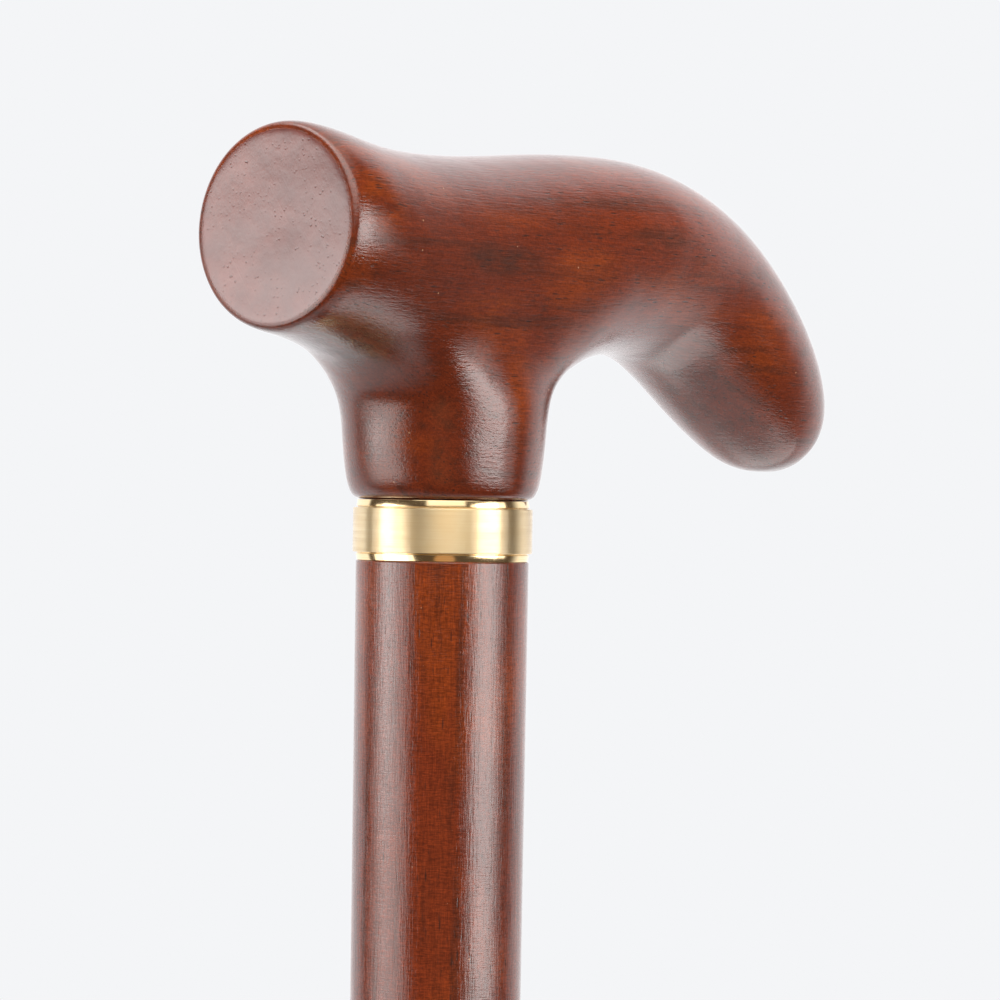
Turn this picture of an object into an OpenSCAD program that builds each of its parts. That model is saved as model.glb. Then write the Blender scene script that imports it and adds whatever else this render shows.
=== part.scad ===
// Single point walking cane: carved hardwood handle with a flat round nose, brass collar,
// one-piece tapered hardwood shaft, steel joining rod and rubber ferrule.
// Millimetres. +Z runs up the shaft from the middle of the ferrule's ground face,
// and +X points to the rounded palm end of the handle, so the flat nose faces -X.

/* [Overall] */
// Height from the ground to the top of the handle
cane_h = 920; // [780:1:980]

/* [Shaft] */
// Diameter of the shaft just under the collar
shaft_top_d = 21; // [20.5:0.1:21.5]
// Diameter of the shaft at its lower end
shaft_tip_d = 16; // [15:0.5:17]

/* [Collar] */
// Height of the whole collar
collar_h = 7.4; // [6.4:0.1:9]
// Height of each polished rim, above and below the brushed band
collar_rim_h = 1; // [0.6:0.1:1.5]
// Diameter of the polished rims
collar_rim_d = 21; // [20.8:0.1:21.4]
// Diameter of the brushed band
collar_band_d = 21.8; // [21.6:0.1:22.4]
// Diameter of the collar's bore
collar_bore_d = 19; // [18:0.1:19.4]

/* [Handle] */
// Diameter of the flat round nose face
nose_d = 24; // [23:0.5:25]
// Distance from the shaft's axis to the nose face
nose_reach = 32; // [30:0.5:34]
// Height of the nose face's centre above the collar
nose_rise = 31.5; // [30:0.5:32]

/* [Joining rod] */
// Thread diameter of the steel rod
rod_d = 8; // [6:1:8]
// Thread pitch
rod_pitch = 1.25; // [1:0.25:1.25]
// Length of the rod above the collar, inside the handle
rod_in_handle = 30; // [20:1:32]
// Length of the rod below the collar's top, inside the shaft
rod_in_shaft = 60; // [40:1:80]

/* [Ferrule] */
// Height of the ferrule
ferrule_h = 42; // [38:1:46]
// Diameter of the ferrule's base
ferrule_base_d = 34; // [30:1:40]
// Diameter of the ferrule's neck
ferrule_neck_d = 22.4; // [22:0.2:24]
// Thickness of the floor under the socket
ferrule_floor = 9; // [8:0.5:10]
// Thickness of the steel washer in the socket
washer_h = 1.5; // [1:0.1:2]

/* [Hidden] */
$fn = 96;

glue_gap = 0.05;      // radial room for glue between turned parts
rod_gap = 0.2;        // radial room for glue around the rod
socket_gap = 0.05;    // radial room between the ferrule's socket and the shaft
edge = 0.4;           // chamfer on turned wooden edges
brass_edge = 0.2;     // chamfer on the collar's edges

// Sections of the handle's bar from the nose to the palm end, at its real size:
// [x, height above the collar, tilt of the bar in degrees, half height, half width]
bar = [
    [-nose_reach, nose_rise, -3, nose_d / 2 * 0.9, nose_d / 2 * 0.9],
    [-nose_reach, nose_rise, -3, nose_d / 2, nose_d / 2],
    [1.5 - nose_reach, nose_rise, -3, nose_d / 2 + 0.5, nose_d / 2 + 0.7],
    [-26, 31, -4, 12.5, 13.4],
    [-17, 29, -8, 12.5, 13.2],
    [0, 29, 0, 12.5, 13],
    [14.5, 28.5, 3, 14.5, 13.5],
    [22.5, 30.5, -1, 13, 13.5],
    [34.5, 31.5, -11, 12.5, 13.5],
    [48.5, 28, -33, 12, 12],
    [61, 18, -48, 11, 11.5],
    [69.5, 9.5, -55, 8.5, 8.5],
    [71, 6.5, -57, 4, 5],
];
bar_nose = [-nose_reach, 0, nose_rise];
bar_tip = [72.5, 0, 4.5];
junction = 5; // the section over the shaft, where the neck leaves the bar
// Sections of the neck from the bar down to the collar: [height above the collar, half length, half width]
neck = [
    [12.5, 13, 12.5],
    [7.5, 13, 12],
    [2.5, 12.5, 11.5],
    [0.4, 11.2, 11.2],
    [0, 10.2, 10.2],
    [0, 8.6, 8.6],
];
sides = 8;                                   // points round each section of the cage
levels = 2;                                  // times that the cage is subdivided
ring_gain = 6 / (4 + 2 * cos(360 / sides));  // undoes the shrinking of a round section

function mean(list) = [for (point = list) 1] * list / len(list);

// Points of a bar section, from its top round towards +Y.
function bar_ring(s) = [
    for (k = [0:sides - 1])
        let (a = 90 - 360 / sides * k, up = s[3] * ring_gain * sin(a))
            [s[0] - up * sin(s[2]), s[4] * ring_gain * cos(a), s[1] + up * cos(s[2])]
];

// Points of a neck section, from +X round towards +Y.
function neck_ring(s) = [
    for (k = [0:sides - 1])
        let (a = 360 / sides * k)
            [s[1] * ring_gain * cos(a), s[2] * ring_gain * sin(a), s[0]]
];

// Quads between two closed loops of point numbers, leaving out those that keep() refuses.
function band(upper, lower, skip = []) = [
    for (k = [0:len(upper) - 1])
        let (n = (k + 1) % len(upper))
            if (len(search(k, skip)) == 0) [upper[k], upper[n], lower[n], lower[k]]
];

// Triangles from a loop to one point.
function fan(loop, point) = [
    for (k = [0:len(loop) - 1]) [loop[k], loop[(k + 1) % len(loop)], point]
];

function loop_of(start) = [for (k = [0:sides - 1]) start + k];

function reversed(list) = [for (i = [len(list) - 1:-1:0]) list[i]];

// The handle's cage: closed rings along the bar, a square hole in its underside, and the neck hung from it.
function handle_cage() =
    let (
        bars = len(bar),
        rings = [for (i = [0:bars - 1]) loop_of(sides * i)],
        necks = [for (i = [0:len(neck) - 1]) loop_of(sides * (bars + i))],
        front = rings[junction - 1],
        middle = rings[junction],
        rear = rings[junction + 1],
        hole = [rear[4], rear[3], middle[3], front[3], front[4], front[5], middle[5], rear[5]],
        nose = sides * (bars + len(neck)),
        points = concat(
            [for (s = bar) each bar_ring(s)],
            [for (s = neck) each neck_ring(s)],
            [bar_nose, bar_tip, [0, 0, 0]]
        ),
        faces = concat(
            [for (i = [0:bars - 2])
                each band(rings[i], rings[i + 1], (i == junction - 1 || i == junction) ? [3, 4] : [])],
            fan(reversed(rings[0]), nose),
            fan(rings[bars - 1], nose + 1),
            band(hole, necks[0]),
            [for (i = [0:len(neck) - 2]) each band(necks[i], necks[i + 1])],
            fan(necks[len(neck) - 1], nose + 2)
        )
    )
    [points, faces];

// One Catmull-Clark step on [points, faces].
function subdivide(mesh) =
    let (
        p = mesh[0],
        f = mesh[1],
        n = len(p),
        faces_at = [for (v = [0:n - 1]) [for (j = [0:len(f) - 1]) if (len(search(v, f[j])) > 0) j]],
        centre = [for (q = f) mean([for (v = q) p[v]])],
        // Each edge once: [key, its two points, its face]
        edges = [for (j = [0:len(f) - 1]) for (i = [0:len(f[j]) - 1])
            let (a = f[j][i], b = f[j][(i + 1) % len(f[j])])
                if (a < b) [a * n + b, a, b, j]],
        keys = [for (e = edges) e[0]],
        edge_points = [for (e = edges)
            let (other = [for (j = faces_at[e[1]]) if (j != e[3] && len(search(e[2], f[j])) > 0) j][0])
                (p[e[1]] + p[e[2]] + centre[e[3]] + centre[other]) / 4],
        moved = [for (v = [0:n - 1])
            let (
                around = faces_at[v],
                m = len(around),
                next = [for (j = around) let (at = search(v, f[j])[0]) p[f[j][(at + 1) % len(f[j])]]]
            )
                // a point that no face uses stays where it is
                m == 0 ? p[v] : (mean([for (j = around) centre[j]]) + mean(next) + (m - 2) * p[v]) / m],
        edge_no = function(a, b) n + search(min(a, b) * n + max(a, b), keys)[0],
        first_centre = n + len(edges)
    )
    [
        concat(moved, edge_points, centre),
        [for (j = [0:len(f) - 1]) for (i = [0:len(f[j]) - 1])
            let (
                m = len(f[j]),
                before = f[j][(i + m - 1) % m],
                here = f[j][i],
                after = f[j][(i + 1) % m]
            )
                [here, edge_no(here, after), first_centre + j, edge_no(before, here)]]
    ];

function smooth(mesh, times) = times == 0 ? mesh : smooth(subdivide(mesh), times - 1);

handle_mesh = smooth(handle_cage(), levels);
handle_rise = max([for (p = handle_mesh[0]) p[2]]);
collar_top = cane_h - handle_rise;
collar_foot = collar_top - collar_h;
shaft_foot = ferrule_floor + washer_h;
shaft_slope = (shaft_top_d - shaft_tip_d) / 2 / (collar_foot - shaft_foot); // radius gained per mm of height

// Radius of the tapered shaft at a height above the ground.
function shaft_r(z) = shaft_tip_d / 2 + shaft_slope * (z - shaft_foot);

// A blind hole for the rod, drilled downwards from the origin, with a drill's conical end.
module rod_hole(depth) {
    r = rod_d / 2 + rod_gap;
    point_h = r * tan(31);
    translate([0, 0, -depth]) cylinder(h = depth + 1, r = r);
    translate([0, 0, -depth - point_h]) cylinder(h = point_h, r1 = 0, r2 = r);
}

module handle() {
    color([0.40, 0.15, 0.08])
    translate([0, 0, collar_top])
    difference() {
        polyhedron(handle_mesh[0], handle_mesh[1], convexity = 6);
        mirror([0, 0, 1]) rod_hole(rod_in_handle + 1);
    }
}

// A turned ring: polished rims above and below a wider brushed band.
module collar() {
    rim_r = collar_rim_d / 2;
    band_r = collar_band_d / 2;
    band_top = collar_h - collar_rim_h;
    color([0.86, 0.68, 0.33])
    translate([0, 0, collar_foot])
    rotate_extrude()
    polygon([
        [collar_bore_d / 2, 0],
        [rim_r - brass_edge, 0],
        [rim_r, brass_edge],
        [rim_r, collar_rim_h],
        [band_r - brass_edge, collar_rim_h],
        [band_r, collar_rim_h + brass_edge],
        [band_r, band_top - brass_edge],
        [band_r - brass_edge, band_top],
        [rim_r, band_top],
        [rim_r, collar_h - brass_edge],
        [rim_r - brass_edge, collar_h],
        [collar_bore_d / 2, collar_h],
    ]);
}

// Tapered stick with a turned spigot that fills the collar.
module shaft() {
    spigot_r = collar_bore_d / 2 - glue_gap;
    color([0.42, 0.16, 0.10])
    difference() {
        rotate_extrude()
        polygon([
            [0, shaft_foot],
            [shaft_r(shaft_foot) - edge, shaft_foot],
            [shaft_r(shaft_foot + edge), shaft_foot + edge],
            [shaft_r(collar_foot - edge), collar_foot - edge],
            [shaft_top_d / 2 - edge, collar_foot],
            [spigot_r, collar_foot],
            [spigot_r, collar_top - edge],
            [spigot_r - edge, collar_top],
            [0, collar_top],
        ]);
        translate([0, 0, collar_top]) rod_hole(rod_in_shaft + 1);
    }
}

// Threaded steel rod that joins the handle to the shaft. Its thread is drawn as rings.
module joining_rod() {
    length = rod_in_handle + rod_in_shaft;
    crest = rod_d / 2;
    root = crest - 0.6 * rod_pitch;
    turns = floor(length / rod_pitch) - 1;
    start = (length - turns * rod_pitch) / 2;
    color([0.62, 0.63, 0.65])
    translate([0, 0, collar_top - rod_in_shaft])
    rotate_extrude()
    polygon(concat(
        [[0, 0], [root, 0]],
        [for (i = [0:turns - 1]) each [
            [root, start + i * rod_pitch],
            [crest, start + (i + 0.45) * rod_pitch],
            [crest, start + (i + 0.55) * rod_pitch],
        ]],
        [[root, start + turns * rod_pitch], [root, length], [0, length]]
    ));
}

// Rubber tip: a neck that grips the shaft, a bell that spreads to the base, and a ringed tread.
module ferrule() {
    neck_r = ferrule_neck_d / 2;
    base_r = ferrule_base_d / 2;
    base_h = 6;           // height of the upright wall of the base
    base_edge = 1.2;      // chamfer round the tread
    shoulder_r = base_r - 0.4;
    bell_r = 15;          // radius of the hollow curve from the base to the neck
    bell_top = base_h + sqrt(pow(bell_r, 2) - pow(neck_r + bell_r - shoulder_r, 2));
    rib_r = 0.5;          // radius of the round grooves in the neck
    rib_step = 3.5;
    lip_r = 1;            // half thickness of the bead round the mouth
    tread_depth = 2;
    tread_w = 2;
    mouth_slope = 1;      // lead-in at the mouth
    color([0.06, 0.06, 0.065])
    difference() {
        rotate_extrude() union() {
            difference() {
                polygon([
                    [0, 0],
                    [base_r - base_edge, 0],
                    [base_r, base_edge],
                    [shoulder_r, base_h],
                    [neck_r, bell_top],
                    [neck_r, ferrule_h - lip_r],
                    [0, ferrule_h - lip_r],
                ]);
                // hollow the bell's straight side
                translate([neck_r + bell_r, bell_top]) circle(r = bell_r);
                for (i = [1:3]) translate([neck_r, bell_top + i * rib_step]) circle(r = rib_r, $fn = 24);
            }
            translate([0, ferrule_h - 2 * lip_r]) square([neck_r, 2 * lip_r]);
            translate([neck_r, ferrule_h - lip_r]) circle(r = lip_r, $fn = 32);
        }
        // the socket, a cone that follows the shaft's taper
        translate([0, 0, ferrule_floor])
            cylinder(
                h = ferrule_h - ferrule_floor + 1,
                r1 = shaft_r(ferrule_floor) + socket_gap,
                r2 = shaft_r(ferrule_h + 1) + socket_gap
            );
        translate([0, 0, ferrule_h - mouth_slope])
            cylinder(
                h = mouth_slope + 0.01,
                r1 = shaft_r(ferrule_h) + socket_gap,
                r2 = shaft_r(ferrule_h) + socket_gap + mouth_slope
            );
        for (r = [4:2 * tread_w:base_r - 2 * tread_w])
            translate([0, 0, -1]) difference() {
                cylinder(h = tread_depth + 1, r = r + tread_w);
                translate([0, 0, -1]) cylinder(h = tread_depth + 3, r = r);
            }
    }
}

// Steel disc that keeps the end of the shaft from cutting through the rubber.
module ferrule_washer() {
    color([0.62, 0.63, 0.65])
    translate([0, 0, ferrule_floor])
    cylinder(h = washer_h, r = shaft_r(ferrule_floor) - 0.2);
}

handle();
collar();
shaft();
joining_rod();
ferrule();
ferrule_washer();
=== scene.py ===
import math

import bmesh
import bpy
from mathutils import Matrix, Vector


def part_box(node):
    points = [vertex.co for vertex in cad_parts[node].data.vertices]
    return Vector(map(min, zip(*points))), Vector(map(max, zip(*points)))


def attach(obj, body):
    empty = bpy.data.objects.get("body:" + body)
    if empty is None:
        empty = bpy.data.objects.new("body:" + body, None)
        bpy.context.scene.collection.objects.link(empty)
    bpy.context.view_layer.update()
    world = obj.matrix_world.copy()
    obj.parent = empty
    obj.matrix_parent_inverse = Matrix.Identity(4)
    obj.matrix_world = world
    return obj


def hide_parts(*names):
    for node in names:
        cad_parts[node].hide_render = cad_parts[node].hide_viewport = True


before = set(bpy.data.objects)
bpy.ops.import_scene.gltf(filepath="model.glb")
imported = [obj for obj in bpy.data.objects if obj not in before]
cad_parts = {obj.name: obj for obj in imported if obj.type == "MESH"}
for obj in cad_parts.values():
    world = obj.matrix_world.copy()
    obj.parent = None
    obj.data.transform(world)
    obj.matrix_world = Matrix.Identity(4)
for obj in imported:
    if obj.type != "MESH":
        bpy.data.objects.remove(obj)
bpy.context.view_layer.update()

MM = 0.001
MICRON = 0.000001
UP = Vector((0, 0, 1))

# ---------------------------------------------------------------- helpers


def new_object(name, mesh):
    obj = bpy.data.objects.new(name, mesh)
    bpy.context.scene.collection.objects.link(obj)
    return obj


def shade_smooth(mesh):
    mesh.polygons.foreach_set("use_smooth", [True] * len(mesh.polygons))


def lathe(name, profile, segments, closed=True):
    """A ring turned about Z from (radius, height, material index) points, going round the section."""
    bm = bmesh.new()
    rings = []
    for radius, height, _ in profile:
        if radius < 1e-9:
            rings.append([bm.verts.new((0, 0, height))] * segments)
            continue
        turn = [2 * math.pi * i / segments for i in range(segments)]
        rings.append([bm.verts.new((radius * math.cos(t), radius * math.sin(t), height)) for t in turn])
    last = len(rings) if closed else len(rings) - 1
    for k in range(last):
        lower, upper = rings[k], rings[(k + 1) % len(rings)]
        for i in range(segments):
            n = (i + 1) % segments
            corners = list(dict.fromkeys((lower[i], lower[n], upper[n], upper[i])))
            if len(corners) < 3:
                continue
            face = bm.faces.new(corners)
            face.material_index = profile[k][2]
    bmesh.ops.recalc_face_normals(bm, faces=bm.faces)
    mesh = bpy.data.meshes.new(name)
    bm.to_mesh(mesh)
    bm.free()
    shade_smooth(mesh)
    return new_object(name, mesh)


def rounded(corners, steps=5):
    """A closed outline of (radius, height, round-over, material) corners with each corner rounded."""
    out = []
    count = len(corners)
    for i, (r, z, fillet, material) in enumerate(corners):
        here = Vector((r, z))
        before = Vector(corners[i - 1][:2])
        after = Vector(corners[(i + 1) % count][:2])
        if fillet <= 0:
            out.append((r, z, material))
            continue
        start = here + (before - here).normalized() * fillet
        end = here + (after - here).normalized() * fillet
        for s in range(steps + 1):
            t = s / steps
            p = start * (1 - t) ** 2 + here * 2 * t * (1 - t) + end * t**2
            out.append((p.x, p.y, material))
    return out


# ---------------------------------------------------------------- node graphs


class Graph:
    """Short calls for a material's or a world's nodes."""

    def __init__(self, tree):
        self.tree = tree
        tree.nodes.clear()

    def add(self, kind, **settings):
        node = self.tree.nodes.new(kind)
        for key, value in settings.items():
            setattr(node, key, value)
        return node

    def put(self, value, socket):
        if isinstance(value, bpy.types.NodeSocket):
            self.tree.links.new(value, socket)
        else:
            socket.default_value = value

    def math(self, operation, a, b=0.0, c=0.0, clamp=False):
        node = self.add("ShaderNodeMath", operation=operation, use_clamp=clamp)
        for value, socket in zip((a, b, c), node.inputs):
            self.put(value, socket)
        return node.outputs[0]

    def times(self, a, b):
        return self.math("MULTIPLY", a, b)

    def stretch(self, vector, sizes):
        """Object coordinates in metres turned into cells of these sizes in millimetres."""
        node = self.add("ShaderNodeMapping")
        self.put(vector, node.inputs["Vector"])
        node.inputs["Scale"].default_value = [1000 / s for s in sizes]
        return node.outputs[0]

    def turned(self, vector, degrees):
        """Coordinates turned about X."""
        node = self.add("ShaderNodeVectorRotate", rotation_type="X_AXIS")
        self.put(vector, node.inputs["Vector"])
        node.inputs["Angle"].default_value = math.radians(degrees)
        return node.outputs[0]

    def noise(self, vector, detail=2.0, roughness=0.5, distortion=0.0):
        node = self.add("ShaderNodeTexNoise", normalize=True)
        self.put(vector, node.inputs["Vector"])
        node.inputs["Scale"].default_value = 1.0
        node.inputs["Detail"].default_value = detail
        node.inputs["Roughness"].default_value = roughness
        node.inputs["Distortion"].default_value = distortion
        return node.outputs["Fac"]

    def cells(self, vector):
        node = self.add("ShaderNodeTexVoronoi")
        self.put(vector, node.inputs["Vector"])
        node.inputs["Scale"].default_value = 1.0
        return node.outputs["Distance"], node.outputs["Color"]

    def red(self, colour):
        node = self.add("ShaderNodeSeparateColor")
        self.put(colour, node.inputs[0])
        return node.outputs["Red"]

    def grey(self, value):
        node = self.add("ShaderNodeCombineColor")
        for socket in node.inputs[:3]:
            self.put(value, socket)
        return node.outputs[0]

    def component(self, vector, axis):
        node = self.add("ShaderNodeSeparateXYZ")
        self.put(vector, node.inputs[0])
        return node.outputs[axis]

    def flattened(self, vector):
        """The vector's level direction, of length 1."""
        level = self.add("ShaderNodeVectorMath", operation="MULTIPLY")
        self.put(vector, level.inputs[0])
        level.inputs[1].default_value = (1, 1, 0)
        unit = self.add("ShaderNodeVectorMath", operation="NORMALIZE")
        self.put(level.outputs[0], unit.inputs[0])
        return unit.outputs[0]

    def offset(self, vector, centre):
        node = self.add("ShaderNodeVectorMath", operation="SUBTRACT")
        self.put(vector, node.inputs[0])
        node.inputs[1].default_value = centre
        return node.outputs[0]

    def length(self, vector):
        node = self.add("ShaderNodeVectorMath", operation="LENGTH")
        self.put(vector, node.inputs[0])
        return node.outputs["Value"]

    def dot(self, vector, direction):
        node = self.add("ShaderNodeVectorMath", operation="DOT_PRODUCT")
        self.put(vector, node.inputs[0])
        node.inputs[1].default_value = direction
        return node.outputs["Value"]

    def ramp(self, value, low, high, start=0.0, end=1.0, smooth=True):
        node = self.add("ShaderNodeMapRange", interpolation_type="SMOOTHSTEP" if smooth else "LINEAR")
        self.put(value, node.inputs["Value"])
        for name, number in (("From Min", low), ("From Max", high), ("To Min", start), ("To Max", end)):
            node.inputs[name].default_value = number
        return node.outputs["Result"]

    def cone(self, vector, direction, outer, inner):
        """1 within the inner angle of a direction, fading to 0 at the outer one, in degrees."""
        outer_cos = math.cos(math.radians(outer))
        inner_cos = math.cos(math.radians(inner))
        return self.ramp(self.dot(vector, direction), outer_cos, inner_cos)

    def mix(self, factor, a, b, blend="MIX"):
        node = self.add("ShaderNodeMix", data_type="RGBA", blend_type=blend)
        self.put(factor, node.inputs["Factor"])
        self.put(a, node.inputs["A"])
        self.put(b, node.inputs["B"])
        return node.outputs["Result"]

    def shade(self, colour, value):
        """The colour times a grey value."""
        return self.mix(1.0, colour, self.grey(value), "MULTIPLY")

    def relief(self, *layers):
        """Adds up (pattern, depth in micrometres) pairs to a height in metres."""
        height = 0.0
        for pattern, depth in layers:
            height = self.math("MULTIPLY_ADD", pattern, depth * MICRON, height)
        return height

    def bump(self, height):
        node = self.add("ShaderNodeBump")
        node.inputs["Strength"].default_value = 1.0
        node.inputs["Distance"].default_value = 1.0
        self.put(height, node.inputs["Height"])
        return node.outputs["Normal"]


def new_material(name):
    material = bpy.data.materials.new(name)
    material.use_nodes = True
    graph = Graph(material.node_tree)
    shader = graph.add("ShaderNodeBsdfPrincipled")
    output = graph.add("ShaderNodeOutputMaterial")
    graph.put(shader.outputs["BSDF"], output.inputs["Surface"])
    coordinates = graph.add("ShaderNodeTexCoord").outputs["Object"]
    return material, graph, shader, coordinates


def rgb(r, g, b):
    return (r, g, b, 1.0)


# ---------------------------------------------------------------- materials

DARK_STAIN = rgb(0.099, 0.0142, 0.0036)
LIGHT_STAIN = rgb(0.127, 0.0186, 0.0040)
THIN_STAIN = rgb(0.170, 0.0275, 0.0032)
STREAK = rgb(0.050, 0.012, 0.005)
SMOKE = rgb(0.022, 0.012, 0.008)
ORANGE = rgb(0.190, 0.031, 0.0030)
BROWN = rgb(0.050, 0.013, 0.006)
PORE = rgb(0.028, 0.010, 0.006)
SMALL_PORE = rgb(0.042, 0.012, 0.006)
DUST = rgb(0.46, 0.24, 0.13)


def along(axis, length, width, depth=None):
    """Cell sizes that are long in the grain's direction."""
    across = [width, depth or width]
    sizes = {"X": [length, *across], "Z": [*across, length]}
    return sizes[axis]


def spots(g, vector, share, inner, outer):
    """One spot in that share of the cells: 1 inside a spot, 0 outside."""
    distance, pick = g.cells(vector)
    chosen = g.math("GREATER_THAN", g.red(pick), 1.0 - share)
    return g.times(g.ramp(distance, inner, outer, 1.0, 0.0), chosen)


def stain(g, at, axis, patches):
    """Dark red-brown layers and streaks, orange where the stain took less, and the given patches."""
    layers = g.noise(g.stretch(at, along(axis, 70, 4.5, 7)), detail=3, roughness=0.5, distortion=0.5)
    wander = g.noise(g.stretch(at, along(axis, 24, 11)), detail=2)
    streaks = g.noise(g.stretch(at, along(axis, 32, 1.5)), detail=2)
    cloud = g.noise(g.stretch(at, along(axis, 6, 2.2)), detail=3, roughness=0.6)
    colour = g.mix(g.ramp(layers, 0.34, 0.66), DARK_STAIN, LIGHT_STAIN)
    colour = g.mix(g.ramp(wander, 0.50, 0.70), colour, THIN_STAIN)
    for centre, size, strength, tone in patches:
        away = g.length(g.stretch(g.offset(at, centre), size))
        amount = g.times(g.ramp(away, 0.25, 1.1, 1.0, 0.0), g.ramp(cloud, 0.28, 0.62))
        colour = g.mix(g.times(amount, strength), colour, tone)
    return g.mix(g.ramp(streaks, 0.50, 0.72, 0.0, 0.55), colour, STREAK)


def open_pores(g, at, axis, share):
    """Short dashes along the grain, which come in clusters: the large pores and the small ones."""
    clusters = g.noise(g.stretch(at, along(axis, 9, 5)), detail=1)
    large = spots(g, g.stretch(at, along(axis, 3.8, 0.52)), share, 0.10, 0.26)
    large = g.times(large, g.ramp(clusters, 0.36, 0.58))
    small = spots(g, g.stretch(at, along(axis, 2.4, 0.36)), share, 0.10, 0.32)
    small = g.times(small, g.ramp(clusters, 0.30, 0.50, 0.35, 1.0))
    return large, small


def lacquer(g, shader, height, coat_roughness):
    """Satin clear coat over stained wood; the surface under it and the coat share one relief."""
    normal = g.bump(height)
    g.put(normal, shader.inputs["Normal"])
    g.put(normal, shader.inputs["Coat Normal"])
    shader.inputs["Specular IOR Level"].default_value = 0.05
    shader.inputs["Coat Weight"].default_value = 1.0
    shader.inputs["Coat Roughness"].default_value = coat_roughness
    shader.inputs["Coat IOR"].default_value = 1.55


def wood(name, axis, sanding, patches=(), pore_share=0.6, relief=1.0, reddening=0.0):
    """Red-brown stained hardwood under satin lacquer; the grain runs along the named axis.

    sanding: length and width in millimetres of the level sanding marks, and how much they stain.
    patches: (centre, size in millimetres, strength, colour) of each darker or lighter patch.
    relief: how strongly the fibres telegraph through the lacquer.
    reddening: the length from the axis towards +X over which the stain gets lighter.
    """
    material, g, shader, at = new_material(name)
    fibres = g.noise(g.stretch(at, along(axis, 5, 0.32)), detail=4, roughness=0.65, distortion=0.2)
    fine = g.noise(g.stretch(at, along(axis, 1.5, 0.13)), detail=2, roughness=0.6)
    mottle = g.noise(g.stretch(at, (0.35, 0.35, 0.35)), detail=3, roughness=0.6)
    wavy = g.noise(g.stretch(at, (6.0, 6.0, 6.0)), detail=1)
    mark_length, mark_width, mark_stain = sanding
    marks = g.noise(g.stretch(at, (mark_length, mark_length, mark_width)), detail=2, roughness=0.6)

    colour = stain(g, at, axis, patches)
    colour = g.shade(colour, g.ramp(fibres, 0.32, 0.68, 0.87, 1.13))
    colour = g.shade(colour, g.ramp(fine, 0.30, 0.70, 0.84, 1.16))
    colour = g.shade(colour, g.ramp(mottle, 0.30, 0.70, 0.84, 1.16))
    if reddening:
        colour = g.shade(colour, g.ramp(g.component(at, "X"), 0, reddening, 1.0, 1.15))

    pores, small_pores = open_pores(g, at, axis, pore_share)
    colour = g.mix(g.times(small_pores, 0.65), colour, SMALL_PORE)
    colour = g.mix(g.times(pores, 0.85), colour, PORE)
    dust_specks = spots(g, g.stretch(at, (2.3, 2.3, 2.3)), 0.26, 0.035, 0.060)
    colour = g.mix(g.times(dust_specks, 0.6), colour, DUST)
    colour = g.mix(mark_stain, colour, g.shade(colour, g.ramp(marks, 0.3, 0.7, 0.55, 1.45)))

    g.put(colour, shader.inputs["Base Color"])
    g.put(g.ramp(fibres, 0.3, 0.7, 0.50, 0.62), shader.inputs["Roughness"])
    height = g.relief(
        (fibres, 52 * relief), (fine, 22 * relief), (small_pores, -7), (pores, -9), (wavy, 100), (marks, 18)
    )
    lacquer(g, shader, height, 0.10)
    return material


def end_grain(name):
    """The flat nose face, cut across the grain: mottled, with pores as dots, nicks and faint scratches."""
    material, g, shader, at = new_material(name)
    mottle = g.noise(g.stretch(at, (4, 4, 4)), detail=4, roughness=0.6)
    broad = g.noise(g.stretch(at, (13, 13, 13)), detail=1)
    slanted = g.turned(at, 34)
    scratches = g.noise(g.stretch(slanted, (3, 0.16, 5)), detail=2)
    nick_distance, nick_pick = g.cells(g.stretch(slanted, (3, 0.35, 2.6)))
    nicks = g.ramp(nick_distance, 0.08, 0.24, 1.0, 0.0)
    nicks = g.times(nicks, g.ramp(g.red(nick_pick), 0.72, 0.76))
    pores = spots(g, g.stretch(at, (1.5, 1.5, 1.5)), 0.65, 0.03, 0.11)
    pores = g.times(pores, g.ramp(mottle, 0.35, 0.60))
    small_distance, _ = g.cells(g.stretch(at, (0.7, 0.7, 0.7)))
    small_pores = g.ramp(small_distance, 0.08, 0.26, 1.0, 0.0)
    small_pores = g.times(small_pores, g.ramp(mottle, 0.38, 0.62))

    colour = g.mix(g.ramp(mottle, 0.3, 0.7), rgb(0.100, 0.021, 0.015), rgb(0.160, 0.036, 0.025))
    colour = g.mix(g.ramp(broad, 0.35, 0.65, 0.0, 0.45), colour, rgb(0.075, 0.016, 0.012))
    colour = g.mix(g.ramp(scratches, 0.62, 0.76, 0.0, 0.14), colour, rgb(0.26, 0.12, 0.09))
    colour = g.mix(g.times(small_pores, 0.6), colour, rgb(0.030, 0.010, 0.008))
    colour = g.mix(g.times(nicks, 0.6), colour, rgb(0.030, 0.012, 0.012))
    colour = g.mix(g.times(pores, 0.6), colour, rgb(0.012, 0.006, 0.006))

    g.put(colour, shader.inputs["Base Color"])
    g.put(g.ramp(mottle, 0.3, 0.7, 0.50, 0.65), shader.inputs["Roughness"])
    height = g.relief(
        (mottle, 40), (broad, 280), (scratches, 4), (small_pores, -10), (nicks, -10), (pores, -12)
    )
    lacquer(g, shader, height, 0.22)
    return material


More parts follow.
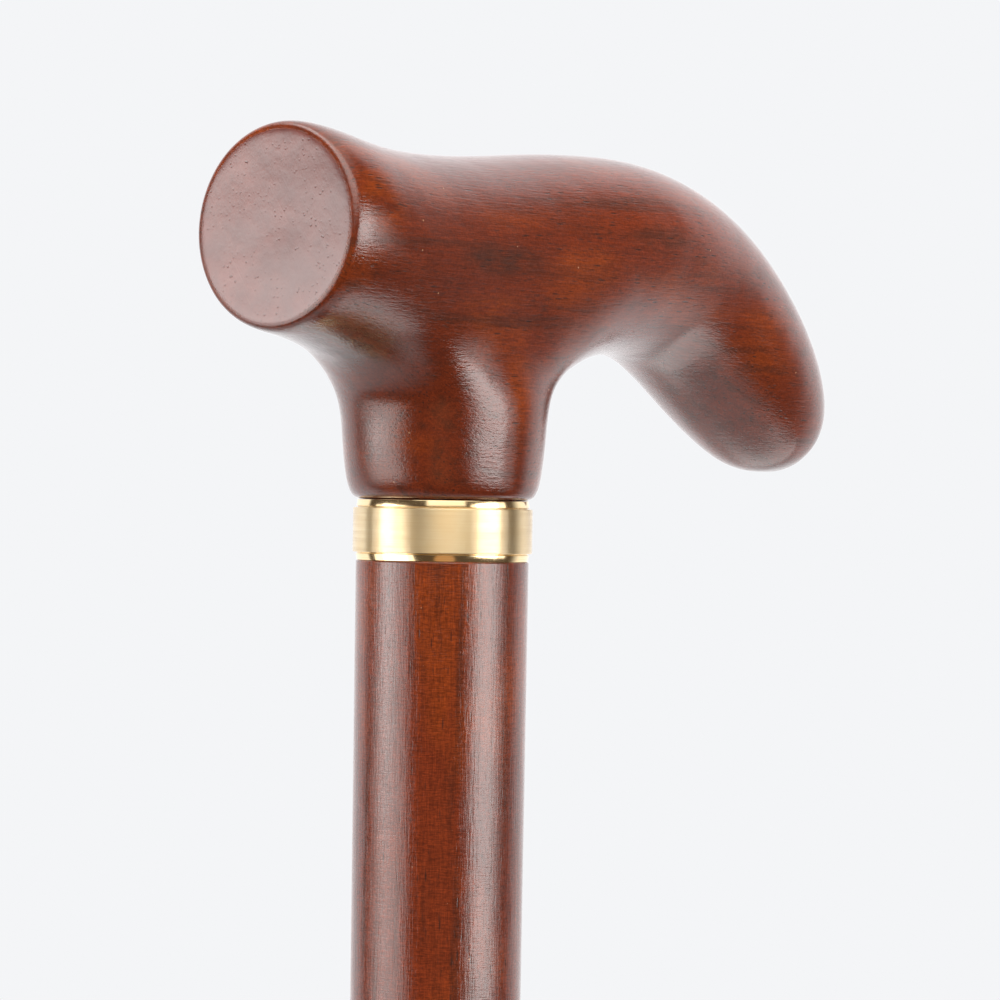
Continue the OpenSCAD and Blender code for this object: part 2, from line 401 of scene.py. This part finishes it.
def brass(name, roughness, anisotropic, lines, coat):
    """Brass turned on a lathe; lines is how deep the turning marks are, in micrometres."""
    material, g, shader, at = new_material(name)
    turning = g.noise(g.stretch(at, (9, 9, 0.07)), detail=3, roughness=0.6)
    cloud = g.noise(g.stretch(at, (3, 3, 3)), detail=3)
    colour = g.mix(g.ramp(cloud, 0.3, 0.7), rgb(0.97, 0.75, 0.43), rgb(0.98, 0.79, 0.49))
    colour = g.mix(g.ramp(turning, 0.3, 0.7, 0.0, 0.25), colour, rgb(0.84, 0.60, 0.26))
    g.put(colour, shader.inputs["Base Color"])
    g.put(g.ramp(turning, 0.3, 0.7, roughness * 0.85, roughness * 1.15), shader.inputs["Roughness"])
    g.put(g.bump(g.relief((turning, lines))), shader.inputs["Normal"])
    shader.inputs["Metallic"].default_value = 1.0
    # the blur runs up and down, across the turning marks
    tangent = g.add("ShaderNodeTangent", direction_type="RADIAL", axis="Z")
    g.put(tangent.outputs[0], shader.inputs["Tangent"])
    shader.inputs["Anisotropic"].default_value = anisotropic
    shader.inputs["Anisotropic Rotation"].default_value = 0.25
    shader.inputs["Coat Weight"].default_value = coat
    shader.inputs["Coat Roughness"].default_value = 0.10
    shader.inputs["Coat IOR"].default_value = 1.7
    return material


def steel(name):
    """Zinc-plated steel with a faint mottle."""
    material, g, shader, at = new_material(name)
    mottle = g.noise(g.stretch(at, (1.6, 1.6, 1.6)), detail=4)
    g.put(g.mix(mottle, rgb(0.42, 0.43, 0.45), rgb(0.66, 0.67, 0.69)), shader.inputs["Base Color"])
    g.put(g.ramp(mottle, 0.3, 0.7, 0.26, 0.42), shader.inputs["Roughness"])
    g.put(g.bump(g.relief((mottle, 6))), shader.inputs["Normal"])
    shader.inputs["Metallic"].default_value = 1.0
    return material


def rubber(name, foot, wear_height):
    """Matt moulded rubber, dusty and scuffed near the ground."""
    material, g, shader, at = new_material(name)
    grain = g.noise(g.stretch(at, (0.35, 0.35, 0.35)), detail=4, roughness=0.6)
    scuff = g.noise(g.stretch(at, (5, 5, 1.2)), detail=4, roughness=0.65)
    low = g.ramp(g.component(at, "Z"), foot, foot + wear_height, 1.0, 0.0)
    worn = g.times(low, g.ramp(scuff, 0.42, 0.66))
    colour = g.mix(g.ramp(grain, 0.3, 0.7), rgb(0.012, 0.012, 0.013), rgb(0.024, 0.024, 0.026))
    colour = g.mix(g.times(worn, 0.55), colour, rgb(0.090, 0.082, 0.074))
    g.put(colour, shader.inputs["Base Color"])
    g.put(g.ramp(grain, 0.3, 0.7, 0.58, 0.72), shader.inputs["Roughness"])
    g.put(g.bump(g.relief((grain, 30), (scuff, 50))), shader.inputs["Normal"])
    shader.inputs["Specular IOR Level"].default_value = 0.4
    return material


# ---------------------------------------------------------------- camera

VIEW_BEARING = -52        # degrees round from -Y, to where the camera stands
VIEW_DISTANCE = 546 * MM  # from the shaft's axis
VIEW_SHIFT = 6.9 * MM     # the optical axis passes this far to the right of the shaft's axis
VIEW_ROLL = 0.9           # degrees
LENS = 162                # on a 36 mm sensor


def bearing(angle):
    """Level direction at this many degrees round from the camera, towards the right of its view."""
    a = math.radians(VIEW_BEARING + angle)
    return Vector((math.sin(a), -math.cos(a), 0))


def make_camera(target):
    back = bearing(0)
    right = bearing(90)
    roll = math.radians(VIEW_ROLL)
    across = right * math.cos(roll) + UP * math.sin(roll)
    upward = UP * math.cos(roll) - right * math.sin(roll)
    data = bpy.data.cameras.new("camera")
    data.lens = LENS
    data.clip_start = 0.05
    data.clip_end = 50
    camera = bpy.data.objects.new("camera", data)
    bpy.context.scene.collection.objects.link(camera)
    turn = Matrix((across, upward, back)).transposed().to_4x4()
    camera.matrix_world = Matrix.Translation(target + back * VIEW_DISTANCE + across * VIEW_SHIFT) @ turn
    bpy.context.scene.camera = camera


collar_low, collar_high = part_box("collar")
COLLAR_TOP = collar_high.z
make_camera(Vector((0, 0, COLLAR_TOP)))

# ---------------------------------------------------------------- pieces


def make_handle():
    """The carved handle: the CAD solid's own faces as quads, closed underneath and smoothed further."""
    low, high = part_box("handle")
    bore_r = 4.3 * MM
    flat_r = 9.2 * MM
    bm = bmesh.new()
    bm.from_mesh(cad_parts["handle"].data)
    bmesh.ops.remove_doubles(bm, verts=bm.verts, dist=1e-6)

    def hidden(face):
        c = face.calc_center_median()
        off_axis = math.hypot(c.x, c.y)
        in_bore = off_axis < bore_r and c.z < high.z - 5 * MM
        on_foot = off_axis < flat_r and c.z < low.z + 0.001 * MM
        return in_bore or on_foot

    bmesh.ops.delete(bm, geom=[f for f in bm.faces if hidden(f)], context="FACES")
    bmesh.ops.join_triangles(
        bm, faces=bm.faces, angle_face_threshold=math.radians(40), angle_shape_threshold=math.radians(80)
    )
    rim = [e for e in bm.edges if e.is_boundary]
    bmesh.ops.edgeloop_fill(bm, edges=rim)
    bmesh.ops.recalc_face_normals(bm, faces=bm.faces)
    for face in bm.faces:
        on_nose = face.calc_center_median().x < low.x + 2 * MM and face.normal.x < -0.99
        face.material_index = 1 if on_nose else 0
    mesh = bpy.data.meshes.new("handle_carved")
    bm.to_mesh(mesh)
    bm.free()
    shade_smooth(mesh)
    handle = new_object("handle_carved", mesh)
    smoothing = handle.modifiers.new("smoothing", "SUBSURF")
    smoothing.levels = 2
    smoothing.render_levels = 2

    def place(length_share, side_share, height_share):
        """A place on the side that faces the camera, in shares of the handle's box."""
        size = high - low
        return (low.x + size.x * length_share, low.y * side_share, low.z + size.z * height_share)

    patches = (
        (place(0.25, 1.0, 0.50), (9, 8, 3.6), 0.9, ORANGE),
        (place(0.05, 1.0, 0.80), (5, 8, 6), 0.9, ORANGE),
        (place(0.40, 1.0, 0.65), (9, 8, 3.2), 0.8, ORANGE),
        (place(0.30, 0.9, 0.30), (3.5, 6, 9), 0.8, ORANGE),
        (place(0.80, 0.65, 0.40), (8, 9, 6), 0.4, ORANGE),
        (place(0.10, 0.2, 0.40), (9, 9, 5), 0.7, BROWN),
        (place(0.25, 1.0, 0.65), (10, 8, 2.6), 0.65, SMOKE),
        (place(0.55, 1.0, 0.75), (9, 8, 2.0), 0.5, SMOKE),
    )
    sanding = (2.4, 0.20, 0.2)
    lacquered = wood(
        "handle_wood_lacquered", "X", sanding, patches, pore_share=0.72, relief=0.7, reddening=45 * MM
    )
    handle.data.materials.append(lacquered)
    handle.data.materials.append(end_grain("handle_wood_end_grain"))
    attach(handle, "cane")
    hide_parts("handle")


def make_collar():
    """Turned brass ring: brushed band between two polished rims."""
    band_r = collar_high.x
    rim_r = band_r - 0.4 * MM
    bore_r = 9.5 * MM
    rim_h = 1.0 * MM
    foot, top = collar_low.z, collar_high.z
    groove = 0.16 * MM
    lean = 0.14 * MM
    POLISHED, BRUSHED = 0, 1
    half = [
        (bore_r, 0, 0.1 * MM, POLISHED),
        (rim_r - lean, 0, 0.10 * MM, POLISHED),
        (rim_r, rim_h - groove, 0.05 * MM, POLISHED),
        (rim_r - groove, rim_h - groove, 0, POLISHED),
        (rim_r - groove, rim_h, 0, BRUSHED),
        (band_r, rim_h, 0.16 * MM, BRUSHED),
    ]
    corners = [(r, foot + z, fillet, material) for r, z, fillet, material in half]
    corners += [(r, top - z, fillet, material) for r, z, fillet, material in reversed(half)]
    ring = lathe("collar_ring", rounded(corners), 256)
    ring.data.materials.append(brass("brass_polished", 0.13, 0.0, 0.3, coat=0.0))
    ring.data.materials.append(brass("brass_brushed", 0.46, 1.0, 0.8, coat=0.4))
    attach(ring, "cane")
    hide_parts("collar")


SHAFT_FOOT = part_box("shaft")[0].z
SHAFT_TOP_R = 10.5 * MM
SHAFT_TIP_R = 8 * MM


def shaft_radius(z):
    share = (z - SHAFT_FOOT) / (collar_low.z - SHAFT_FOOT)
    return SHAFT_TIP_R + (SHAFT_TOP_R - SHAFT_TIP_R) * share


def make_shaft():
    """One-piece tapered shaft with a spigot inside the collar."""
    foot, shoulder, top = SHAFT_FOOT, collar_low.z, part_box("shaft")[1].z
    spigot_r = 9.4 * MM
    rod_r = 4.2 * MM
    steps = 24
    corners = [(rod_r, top - 60 * MM, 0, 0), (0.0, top - 60 * MM, 0, 0), (0.0, foot, 0, 0)]
    corners.append((SHAFT_TIP_R, foot, 0.4 * MM, 0))
    for i in range(1, steps):
        z = foot + (shoulder - foot) * i / steps
        corners.append((shaft_radius(z), z, 0, 0))
    corners.append((SHAFT_TOP_R, shoulder, 0.18 * MM, 0))
    corners += [(spigot_r, shoulder, 0, 0), (spigot_r, top, 0.3 * MM, 0), (rod_r, top, 0, 0)]
    shaft = lathe("shaft_turned", rounded(corners), 160)
    sanding = (1.1, 0.14, 0.6)
    shaft.data.materials.append(wood("shaft_wood_lacquered", "Z", sanding, pore_share=0.25, relief=0.6))
    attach(shaft, "cane")
    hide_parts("shaft")


def arc(centre_r, centre_z, radius, start, end, steps):
    """Outline points round an arc, in millimetres and degrees."""
    points = []
    for i in range(steps + 1):
        a = math.radians(start + (end - start) * i / steps)
        r = centre_r + radius * math.cos(a)
        z = centre_z + radius * math.sin(a)
        points.append((r * MM, z * MM, 0, 0))
    return points


def make_ferrule():
    """Moulded rubber tip: beaded mouth, ribbed neck, hollow bell, upright base and ringed tread."""
    low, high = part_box("ferrule")
    base_r = high.x / MM
    top = high.z / MM
    neck_r = 11.2
    bead_r = 1.0
    bell_r = 15.0
    base_h = 6.0
    shoulder_r = base_r - 0.4
    bell_top = base_h + math.sqrt(bell_r**2 - (neck_r + bell_r - shoulder_r) ** 2)
    floor_z = 9.0
    groove_r = 0.5
    groove_step = 3.5
    tread_depth = 2.0
    socket_gap = 0.05

    def corner(r, z, fillet=0.0):
        return (r * MM, z * MM, fillet * MM, 0)

    def socket(z):
        return shaft_radius(z * MM) / MM + socket_gap

    outline = [corner(0, floor_z), corner(socket(floor_z), floor_z, 0.4)]
    outline += [corner(socket(top), top - 1), corner(socket(top) + 0.9, top, 0.4)]
    outline += arc(neck_r, top - bead_r, bead_r, 90, -80, 10)
    for i in (3, 2, 1):
        z = bell_top + i * groove_step
        outline += [corner(neck_r, z + groove_r + 0.3)]
        outline += arc(neck_r, z, groove_r, 90, 270, 8)
        outline += [corner(neck_r, z - groove_r - 0.3)]
    bell_end = math.degrees(math.asin((bell_top - base_h) / bell_r))
    outline += arc(neck_r + bell_r, bell_top, bell_r, 180, 180 + bell_end, 20)
    outline += [corner(shoulder_r, base_h, 0.7), corner(base_r, 1.2, 0.4), corner(base_r - 1.2, 0, 0.3)]
    for r in (14, 10, 6):
        outline += [corner(r, 0, 0.3), corner(r, tread_depth, 0.3)]
        outline += [corner(r - 2, tread_depth, 0.3), corner(r - 2, 0, 0.3)]
    outline += [corner(0, 0)]
    tip = lathe("ferrule_moulded", rounded(outline, steps=4), 160)
    tip.data.materials.append(rubber("rubber_moulded", 0, 20 * MM))
    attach(tip, "tip")
    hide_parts("ferrule")


def set_material(node, material):
    """A CAD node whose shape is right keeps its mesh and gets a finish."""
    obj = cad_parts[node]
    for s in obj.material_slots:
        s.material = material


make_handle()
make_collar()
make_shaft()
make_ferrule()
set_material("joining_rod", steel("steel_zinc_rod"))
set_material("ferrule_washer", steel("steel_zinc_washer"))

# ---------------------------------------------------------------- stage and light

HANDLE_HEIGHT = COLLAR_TOP + 20 * MM

# name, bearing and elevation from the handle in degrees, width, height and distance in metres, radiance
SOFTBOXES = (
    ("softbox_left", -71, -13, 1.57, 1.12, 1.32, 1.8),
    ("softbox_left_core", -67, -11, 0.84, 1.06, 1.28, 1.9),
    ("softbox_left_hot", -76, 3, 0.50, 0.36, 1.26, 3.9),
    ("softbox_left_high", -75, 62, 0.90, 0.60, 1.20, 4.0),
    ("softbox_right", 66, 1, 1.34, 0.76, 1.30, 1.8),
    ("softbox_right_core", 63, 1, 0.74, 0.72, 1.27, 5.2),
    ("softbox_low", 150, -67, 0.95, 0.95, 1.00, 1.35),
)


def make_floor():
    """A pale disc, mostly behind the cane, that fades out at its edge.

    The ferrule stands on it, so it stays under the ferrule when the cane is lifted out of it.
    """
    radius = 1.15
    fade = 0.45
    set_back = 0.6
    clearance = 0.2 * MM
    floor = lathe("floor", [(0, 0, 0), (fade, 0, 0), (radius, 0, 0)], 128, closed=False)
    floor.location = bearing(180) * set_back - UP * clearance
    material, g, shader, at = new_material("floor_paper")
    mottle = g.noise(g.stretch(at, (40, 40, 40)), detail=2)
    g.put(g.mix(mottle, rgb(0.425, 0.432, 0.446), rgb(0.445, 0.452, 0.466)), shader.inputs["Base Color"])
    shader.inputs["Roughness"].default_value = 0.9
    shader.inputs["Specular IOR Level"].default_value = 0.1
    g.put(g.ramp(g.length(at), fade, radius, 1.0, 0.0), shader.inputs["Alpha"])
    floor.data.materials.append(material)
    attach(floor, "tip")


def make_softbox(name, angle, rise, width, height, distance, radiance):
    """A rectangular light that faces the handle."""
    data = bpy.data.lights.new(name, "AREA")
    data.shape = "RECTANGLE"
    data.size = width
    data.size_y = height
    data.energy = radiance * math.pi * width * height
    data.color = (1.0, 0.985, 0.97)
    light = bpy.data.objects.new(name, data)
    lift = math.radians(rise)
    out = bearing(angle) * math.cos(lift) + UP * math.sin(lift)
    light.location = out * distance + UP * HANDLE_HEIGHT
    light.rotation_mode = "QUATERNION"
    light.rotation_quaternion = out.to_track_quat("Z", "Y")
    light.visible_camera = False
    bpy.context.scene.collection.objects.link(light)


def make_world():
    """Pale backdrop for the camera; for light, a white sweep behind and a dim room in front."""
    world = bpy.data.worlds.new("studio")
    bpy.context.scene.world = world
    world.use_nodes = True
    g = Graph(world.node_tree)
    direction = g.add("ShaderNodeTexCoord").outputs["Generated"]
    rise = g.component(direction, "Z")
    level = g.flattened(direction)
    # the sweep's two edges, 104 degrees round from the camera on either side; the right one leans
    lean = g.times(g.math("MAXIMUM", g.math("SUBTRACT", rise, 0.2), 0.0), 0.55)
    right_edge = g.ramp(g.math("SUBTRACT", g.dot(level, bearing(194)), lean), 0.0, 0.44)
    left_edge = g.ramp(g.dot(level, bearing(-194)), 0.16, 0.26)
    sweep = g.math("MINIMUM", right_edge, left_edge)
    overhead = g.ramp(rise, 0.72, 0.92)
    # a bright ceiling and a white panel above the camera, and something warm-coloured below it
    ceiling = g.times(g.cone(level, bearing(5), 55, 40), g.ramp(rise, 0.42, 0.55))
    panel = g.times(g.cone(level, bearing(5), 28, 25), g.ramp(rise, 0.20, 0.28))
    drop = math.radians(22)
    warm = g.cone(direction, bearing(4) * math.cos(drop) - UP * math.sin(drop), 15, 11)
    lit = g.mix(warm, rgb(0.090, 0.068, 0.052), rgb(0.55, 0.33, 0.18))
    lit = g.mix(panel, lit, rgb(1.50, 1.45, 1.38))
    lit = g.mix(sweep, lit, rgb(1.20, 1.20, 1.22))
    lit = g.mix(overhead, lit, rgb(1.40, 1.38, 1.34))
    lit = g.mix(ceiling, lit, rgb(3.80, 3.70, 3.55))
    path = g.add("ShaderNodeLightPath")
    colour = g.mix(path.outputs["Is Camera Ray"], lit, rgb(0.905, 0.913, 0.930))
    background = g.add("ShaderNodeBackground")
    g.put(colour, background.inputs["Color"])
    output = g.add("ShaderNodeOutputWorld")
    g.put(background.outputs[0], output.inputs["Surface"])


make_floor()
make_world()
for softbox in SOFTBOXES:
    make_softbox(*softbox)
bpy.context.scene.view_settings.view_transform = "Standard"
